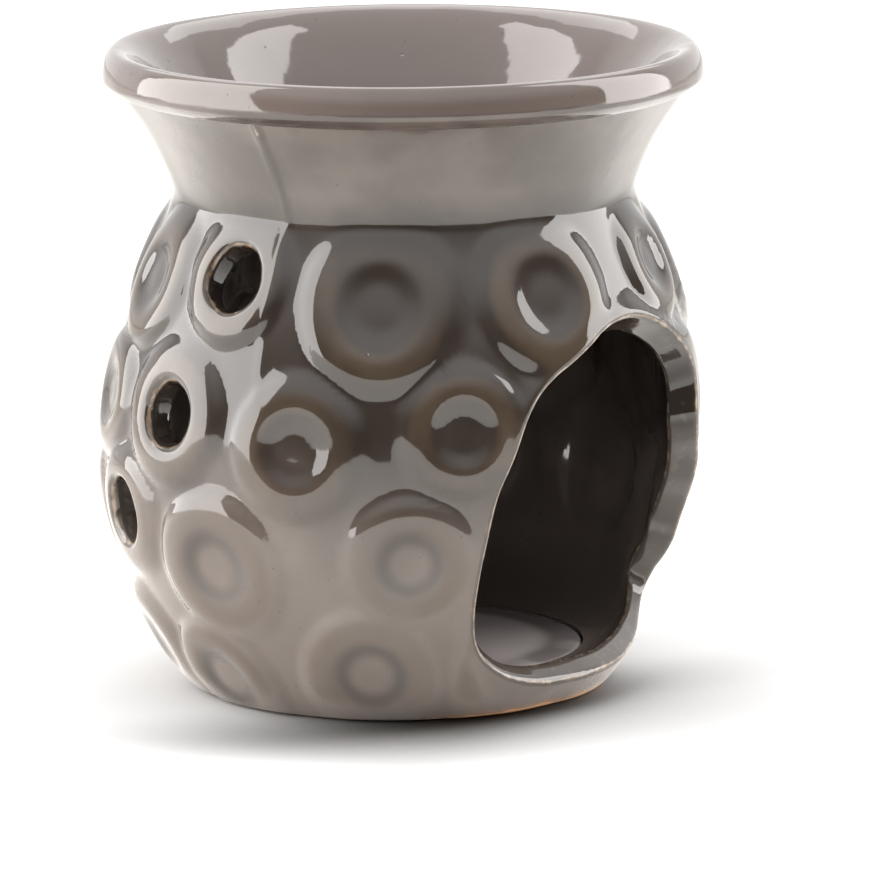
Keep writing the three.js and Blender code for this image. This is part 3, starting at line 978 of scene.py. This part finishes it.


# One piece's glaze. Its crown colour goes where the crown mask is high: on the pot's mounds, and as painted
# shade under the dish's lip and round the disc's edge. The clay is bare below the limit, in millimetres.
def glaze(name, body, painted_light_colour, crown_and_painted_shade_colour, gloss, bare_below):
    material = bpy.data.materials.new(name)
    material.use_nodes = True
    tree = material.node_tree
    links = tree.links
    shader = tree.nodes["Principled BSDF"]
    shader.inputs["IOR"].default_value = 1.58
    where = tree.nodes.new("ShaderNodeTexCoord").outputs["Object"]
    colour = use_group(tree, "glaze_colour", glaze_colour_group)
    clay = use_group(tree, "bare_clay", bare_clay_group)
    surface = use_group(tree, "glaze_surface", glaze_surface_group)
    shades = {"Body": body, "Painted light colour": painted_light_colour, "Crown and painted shade colour": crown_and_painted_shade_colour}
    shades |= {"Broken": BROKEN, "Burnt": BURNT}
    for label, shade in shades.items():
        colour.inputs[label].default_value = (*shade, 1)
    for label, layer in (("Thin", "thin_glaze"), ("Crown", "crown"), ("Painted crater shade and seam", "crater")):
        mask = tree.nodes.new("ShaderNodeAttribute")
        mask.attribute_name = layer
        links.new(mask.outputs["Fac"], colour.inputs[label])
    for group in (colour, clay, surface):
        links.new(where, group.inputs["Place"])
    clay.inputs["Limit"].default_value = bare_below * MM
    links.new(colour.outputs["Color"], clay.inputs["Color"])
    links.new(clay.outputs["Color"], shader.inputs["Base Color"])
    rough = ramp(tree, colour.outputs["Thinned"], 0.0, 1.0, gloss, gloss + 0.1)
    rough = maths(tree, "ADD", rough, times(tree, clay.outputs["Bare"], 0.6))
    links.new(rough, shader.inputs["Roughness"])
    bump = tree.nodes.new("ShaderNodeBump")
    bump.inputs["Strength"].default_value = 0.5
    bump.inputs["Distance"].default_value = 0.0005
    links.new(surface.outputs["Height"], bump.inputs["Height"])
    links.new(bump.outputs["Normal"], shader.inputs["Normal"])
    return material


def main():
    pot = make_pot()
    dish = make_dish()
    disc = make_floor_disc()
    nowhere = -9
    body_glaze = glaze("body_glaze", body=(0.029, 0.022, 0.018), painted_light_colour=(0.136, 0.111, 0.097),
                       crown_and_painted_shade_colour=(0.078, 0.055, 0.037), gloss=0.06, bare_below=0.9)
    dish_glaze = glaze("dish_glaze", body=(0.104, 0.081, 0.072), painted_light_colour=(0.122, 0.098, 0.088),
                       crown_and_painted_shade_colour=(0.022, 0.016, 0.013), gloss=0.06, bare_below=nowhere)
    floor_glaze = glaze("floor_glaze", body=(0.44, 0.39, 0.38), painted_light_colour=(0.48, 0.43, 0.42),
                        crown_and_painted_shade_colour=(0.012, 0.010, 0.009), gloss=0.16, bare_below=nowhere)
    for piece, node, slot, material in ((pot, "burner_body", "body_glaze", body_glaze),
                                        (dish, "oil_dish", "dish_glaze", dish_glaze),
                                        (disc, "chamber_floor", "floor_glaze", floor_glaze)):
        piece.data.materials.clear()
        piece.data.materials.append(material)
        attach(piece, "root")
        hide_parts(node)


# The studio
CAMERA_AZIMUTH = math.radians(-54)
AWAY_FROM_CAMERA = (-math.sin(CAMERA_AZIMUTH), math.cos(CAMERA_AZIMUTH), 0)
CONTACT_SIDE = (-0.47, -0.88, 0)
SHADOW = (0.02, 0.015, 0.011)
DIMMED = (0.12, 0.11, 0.10)


# A tall glowing board beside the table that faces the object, and that the camera looks through. `front`
# and `back` are how far back its two edges stand, at the foot and at the top.
def side_panel(name, side, front, strength):
    back = (0.58, 0.27)
    tall = 2.25
    board = add(bpy.ops.mesh.primitive_plane_add, name, size=2)
    mesh = edit(board)
    for v in mesh.verts:
        high = v.co.y > 0
        depth = front[high] if v.co.x > 0 else back[high]
        v.co = (side, depth, tall if high else 0.0)
    bmesh.update_edit_mesh(board.data)
    bpy.ops.mesh.select_all(action="SELECT")
    done_editing()
    board.data.transform(Matrix.Rotation(CAMERA_AZIMUTH, 4, "Z"))
    board.data.materials.append(glow(name, strength))
    board.visible_camera = False


def glow(name, strength):
    material = bpy.data.materials.new(name)
    material.use_nodes = True
    nodes, links = material.node_tree.nodes, material.node_tree.links
    nodes.remove(nodes["Principled BSDF"])
    lamp = nodes.new("ShaderNodeEmission")
    lamp.inputs["Color"].default_value = (1, 0.983, 0.968, 1)
    lamp.inputs["Strength"].default_value = strength
    links.new(lamp.outputs["Emission"], nodes["Material Output"].inputs["Surface"])
    return material


# A broad lamp high up that looks at the middle of the object.
def high_light(name, azimuth, elevation, distance, width, height, power):
    light = bpy.data.lights.new(name, "AREA")
    light.shape = "RECTANGLE"
    light.size, light.size_y = width, height
    light.energy = power
    lamp = bpy.data.objects.new(name, light)
    bpy.context.collection.objects.link(lamp)
    level = math.cos(elevation)
    towards = Vector((math.sin(azimuth) * level, -math.cos(azimuth) * level, math.sin(elevation)))
    middle = Vector((0, 0, 0.06))
    lamp.location = towards * distance + middle
    lamp.rotation_euler = towards.to_track_quat("Z", "Y").to_euler()


# One shader for the camera, another for all other light.
def split_for_camera(tree, for_camera, for_light):
    path = tree.nodes.new("ShaderNodeLightPath")
    mix = tree.nodes.new("ShaderNodeMixShader")
    tree.links.new(path.outputs["Is Camera Ray"], mix.inputs["Fac"])
    tree.links.new(for_light, mix.inputs[1])
    tree.links.new(for_camera, mix.inputs[2])
    return mix.outputs["Shader"]


def diffuse(tree, colour):
    node = tree.nodes.new("ShaderNodeBsdfDiffuse")
    tree.links.new(colour, node.inputs["Color"])
    return node.outputs["BSDF"]


# White paper. The camera sees a tone that doesn't burn out, with a painted shadow where the foot stands on
# it.
# What the paper gives back to the object is brighter, but dimmed by painted shade close in front of the
# foot and behind it.
def paper(name, seen, given):
    material = bpy.data.materials.new(name)
    material.use_nodes = True
    tree = material.node_tree
    tree.nodes.remove(tree.nodes["Principled BSDF"])
    where = tree.nodes.new("ShaderNodeTexCoord").outputs["Object"]
    away = along(tree, where, AWAY_FROM_CAMERA)
    from_middle = tree.nodes.new("ShaderNodeVectorMath")
    from_middle.operation = "LENGTH"
    tree.links.new(where, from_middle.inputs[0])
    distance = from_middle.outputs["Value"]

    # Painted shade: the light the paper gives back is dimmed close in front of the foot and far behind it.
    close = times(tree, ramp(tree, distance, 0.125, 0.045), ramp(tree, away, 0.02, -0.03))
    dim = maths(tree, "MAXIMUM", times(tree, close, 0.24), ramp(tree, away, 0.08, 0.3, 0.0, 0.5))
    given_tone = blend(tree, dim, (given, given * 0.985, given * 0.95), DIMMED)

    # Painted shadow: ambient occlusion on the foot's front side darkens the tone the camera sees towards
    # the shadow colour.
    hidden = tree.nodes.new("ShaderNodeAmbientOcclusion")
    hidden.inputs["Distance"].default_value = 0.032
    shaded = maths(tree, "SUBTRACT", 1.0, maths(tree, "POWER", hidden.outputs["AO"], 2.6))
    shaded = times(tree, shaded, ramp(tree, along(tree, where, CONTACT_SIDE), 0.004, 0.04, 0.12, 1.0))
    shaded = times(tree, shaded, ramp(tree, distance, 0.15, 0.12))
    seen_tone = blend(tree, shaded, (seen, seen, seen), SHADOW)

    surface = split_for_camera(tree, diffuse(tree, seen_tone), diffuse(tree, given_tone))
    tree.links.new(surface, tree.nodes["Material Output"].inputs["Surface"])
    return material


# The table reaches far back and to the sides, and less far towards the camera on its right.
def lay_table():
    table = add(bpy.ops.mesh.primitive_plane_add, "table_top", size=1)
    mesh = edit(table)
    for v in mesh.verts:
        v.co.x *= 3.0
        v.co.y = (-0.24 if v.co.x > 0 else -1.3) if v.co.y < 0 else 2.2
    bmesh.update_edit_mesh(table.data)
    bpy.ops.mesh.select_all(action="SELECT")
    done_editing()
    table.data.transform(Matrix.Rotation(CAMERA_AZIMUTH, 4, "Z"))
    table.data.materials.append(paper("white_table", seen=0.64, given=1.08))


# The camera sees white all round. The object sees a pale wall behind it, a bright ceiling and a dark room
# in front.
def light_room():
    world = bpy.data.worlds.new("white_surround")
    bpy.context.scene.world = world
    world.use_nodes = True
    tree = world.node_tree
    where = tree.nodes.new("ShaderNodeTexCoord").outputs["Generated"]
    wall = ramp(tree, along(tree, where, AWAY_FROM_CAMERA), 0.35, 0.6, 0.03, 1.4)
    ceiling = ramp(tree, height_of(tree, where), 0.12, 0.75, 0.0, 1.5)
    room = tree.nodes["Background"]
    room.inputs["Color"].default_value = (1, 1, 1, 1)
    tree.links.new(maths(tree, "MAXIMUM", wall, ceiling), room.inputs["Strength"])
    white = tree.nodes.new("ShaderNodeBackground")
    white.inputs["Color"].default_value = (1, 1, 1, 1)
    surround = split_for_camera(tree, white.outputs["Background"], room.outputs["Background"])
    tree.links.new(surround, tree.nodes["World Output"].inputs["Surface"])


def set_up_studio():
    lay_table()
    light_room()
    side_panel("left_panel", side=-1, front=(-0.71, -0.06), strength=6.6)
    side_panel("right_panel", side=1, front=(-0.16, -0.10), strength=6.7)
    high_light("back_light", CAMERA_AZIMUTH + math.radians(180), elevation=math.radians(50), distance=1.4,
               width=1.6, height=0.8, power=8)
    bpy.context.scene.view_settings.view_transform = "Standard"


# The camera stands where the photo's outline puts it, a little turned, tipped and rolled.
def set_up_camera():
    yaw, pitch, roll = 0.0047, -0.195, -0.0075
    ahead = Vector((math.sin(yaw) * math.cos(pitch), math.cos(yaw) * math.cos(pitch), math.sin(pitch)))
    right = ahead.cross(Vector((0, 0, 1))).normalized()
    up = right.cross(ahead)
    right, up = right * math.cos(roll) + up * math.sin(roll), up * math.cos(roll) - right * math.sin(roll)
    placed = Matrix((right, up, -ahead)).transposed().to_4x4()
    distance, height = 1.448, 0.3304
    placed.translation = Vector((0, -distance, height))
    camera = bpy.data.cameras.new("camera")
    camera.sensor_width = 36
    camera.lens = 324.97
    camera.clip_end = 50
    stand = bpy.data.objects.new("camera", camera)
    bpy.context.collection.objects.link(stand)
    stand.matrix_world = Matrix.Rotation(CAMERA_AZIMUTH, 4, "Z") @ placed
    bpy.context.scene.camera = stand


main()
set_up_studio()
set_up_camera()
